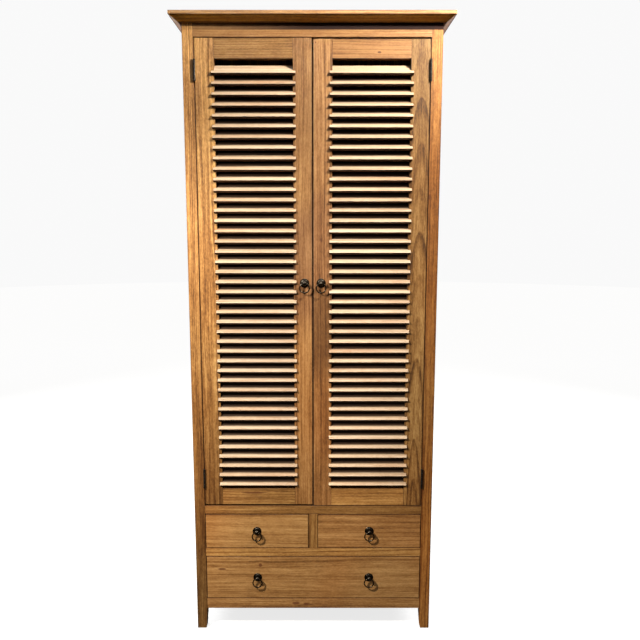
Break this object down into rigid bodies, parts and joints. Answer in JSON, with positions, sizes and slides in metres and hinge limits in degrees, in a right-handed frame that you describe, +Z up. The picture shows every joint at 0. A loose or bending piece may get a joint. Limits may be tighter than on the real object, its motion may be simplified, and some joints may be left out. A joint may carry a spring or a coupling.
{
  "type": "louvred door cabinet",
  "caption": "Tall wooden cupboard with louvred doors over small drawers and a wide drawer, on tapered feet under a sloped cornice.",
  "frame": {"origin": "middle of the footprint at floor level, half-way between the cornice's front edge and the back", "axes": "+X to the right seen from the front, the front faces -Y, +Z up"},
  "size_m": [0.846, 0.45, 1.97],
  "materials": {
    "teak": "waxed, honey brown",
    "louvre_teak": "waxed, paler",
    "inner_wood": "plain planed",
    "thin_panel": "plain sanded",
    "aged_bronze": "dark antique, rubbed highlights",
    "hinge_metal": "dark antique"
  },
  "bodies": {
    "carcass": {"back_panel": "thin_panel", "back_rails": "teak", "bottom_rail": "teak", "centre_runner": "inner_wood", "crown_front": "teak", "cupboard_floor": "inner_wood", "door_stop": "inner_wood", "drawer_divider": "teak", "drawer_rail": "teak", "drawer_side_runners": "inner_wood", "frame_hinge_leaves": "hinge_metal", "frieze_rail": "teak", "left_crown": "teak", "left_front_post": "teak", "left_rear_post": "teak", "left_side_panel": "teak", "mid_rail": "teak", "right_crown": "teak", "right_front_post": "teak", "right_rear_post": "teak", "right_side_panel": "teak", "shelf_battens": "inner_wood", "shelves": "inner_wood", "side_rails": "teak", "top_board": "teak"},
    "left_door": {"left_door_bottom_rail": "teak", "left_door_hinge_leaves": "hinge_metal", "left_door_hinge_stile": "teak", "left_door_louvres": "louvre_teak", "left_door_meeting_stile": "teak", "left_door_pull": "aged_bronze", "left_door_top_rail": "teak"},
    "right_door": {"right_door_bottom_rail": "teak", "right_door_hinge_leaves": "hinge_metal", "right_door_hinge_stile": "teak", "right_door_louvres": "louvre_teak", "right_door_meeting_stile": "teak", "right_door_pull": "aged_bronze", "right_door_top_rail": "teak"},
    "left_drawer": {"left_drawer_back": "inner_wood", "left_drawer_bottom": "thin_panel", "left_drawer_front": "teak", "left_drawer_pull": "aged_bronze", "left_drawer_sides": "inner_wood"},
    "right_drawer": {"right_drawer_back": "inner_wood", "right_drawer_bottom": "thin_panel", "right_drawer_front": "teak", "right_drawer_pull": "aged_bronze", "right_drawer_sides": "inner_wood"},
    "large_drawer": {"large_drawer_back": "inner_wood", "large_drawer_bottom": "thin_panel", "large_drawer_front": "teak", "large_drawer_pulls": "aged_bronze", "large_drawer_sides": "inner_wood"},
    "left_door_ring_body": {"left_door_ring": "aged_bronze"},
    "right_door_ring_body": {"right_door_ring": "aged_bronze"},
    "left_drawer_ring_body": {"left_drawer_ring": "aged_bronze"},
    "right_drawer_ring_body": {"right_drawer_ring": "aged_bronze"},
    "large_drawer_left_ring_body": {"large_drawer_left_ring": "aged_bronze"},
    "large_drawer_right_ring_body": {"large_drawer_right_ring": "aged_bronze"}
  },
  "joints": [
    {"name": "left_door_hinge", "type": "hinge", "parent": "carcass", "child": "left_door", "pos_m": [-0.355, -0.1945, 1.1685], "axis": [0, 0, -1], "range_deg": [0, 175]},
    {"name": "right_door_hinge", "type": "hinge", "parent": "carcass", "child": "right_door", "pos_m": [0.355, -0.1945, 1.1685], "axis": [0, 0, 1], "range_deg": [0, 175]},
    {"name": "left_drawer_slide", "type": "slide", "parent": "carcass", "child": "left_drawer", "axis": [0, -1, 0], "range_m": [0, 0.28]},
    {"name": "right_drawer_slide", "type": "slide", "parent": "carcass", "child": "right_drawer", "axis": [0, -1, 0], "range_m": [0, 0.28]},
    {"name": "large_drawer_slide", "type": "slide", "parent": "carcass", "child": "large_drawer", "axis": [0, -1, 0], "range_m": [0, 0.28]},
    {"name": "left_door_ring_swing", "type": "hinge", "parent": "left_door", "child": "left_door_ring_body", "pos_m": [-0.026, -0.203, 1.1685], "axis": [-1, 0, 0], "range_deg": [-15, 170]},
    {"name": "right_door_ring_swing", "type": "hinge", "parent": "right_door", "child": "right_door_ring_body", "pos_m": [0.026, -0.203, 1.1685], "axis": [-1, 0, 0], "range_deg": [-15, 170]},
    {"name": "left_drawer_ring_swing", "type": "hinge", "parent": "left_drawer", "child": "left_drawer_ring_body", "pos_m": [-0.1855, -0.203, 0.34625], "axis": [-1, 0, 0], "range_deg": [-15, 170]},
    {"name": "right_drawer_ring_swing", "type": "hinge", "parent": "right_drawer", "child": "right_drawer_ring_body", "pos_m": [0.1855, -0.203, 0.34625], "axis": [-1, 0, 0], "range_deg": [-15, 170]},
    {"name": "large_drawer_left_ring_swing", "type": "hinge", "parent": "large_drawer", "child": "large_drawer_left_ring_body", "pos_m": [-0.1855, -0.203, 0.183], "axis": [-1, 0, 0], "range_deg": [-15, 170]},
    {"name": "large_drawer_right_ring_swing", "type": "hinge", "parent": "large_drawer", "child": "large_drawer_right_ring_body", "pos_m": [0.1855, -0.203, 0.183], "axis": [-1, 0, 0], "range_deg": [-15, 170]}
  ]
}
